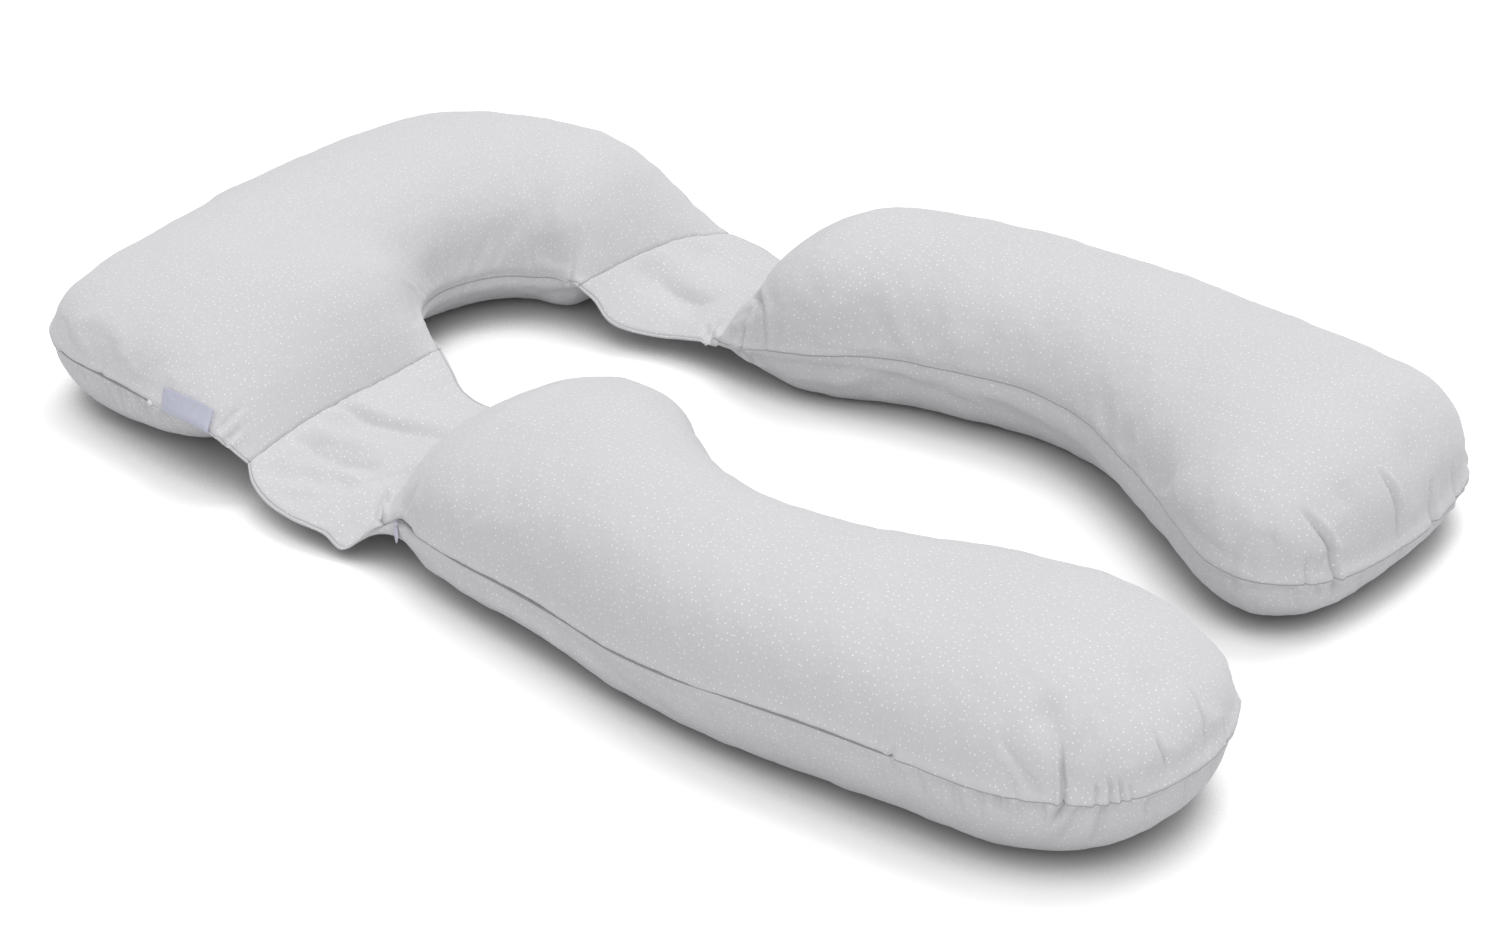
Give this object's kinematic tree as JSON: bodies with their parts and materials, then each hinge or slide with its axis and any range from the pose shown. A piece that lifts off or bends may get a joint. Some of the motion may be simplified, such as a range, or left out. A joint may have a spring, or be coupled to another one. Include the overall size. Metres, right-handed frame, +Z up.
{
  "type": "pregnancy pillow",
  "caption": "Long maternity body pillow: an arched head cushion joined by soft flat necks to two curved side arms, in a pale dotted cover with a side zip.",
  "frame": {"origin": "centre of the bounding box in plan, on the surface the pillow rests on", "axes": "+Y towards the head cushion, +X towards the right arm, +Z up"},
  "size_m": [0.7946, 1.2949, 0.168],
  "materials": {
    "pillow_cover": "matte dotted jersey",
    "zip_tape": "matte",
    "zip_pull": "matte",
    "side_label": "satin"
  },
  "bodies": {
    "root": {"head_cushion": "pillow_cover", "left_arm": "pillow_cover", "right_arm": "pillow_cover", "arm_zip": "zip_tape", "head_zip": "zip_tape", "arm_zip_pull": "zip_pull", "side_label": "side_label"}
  },
  "joints": []
}
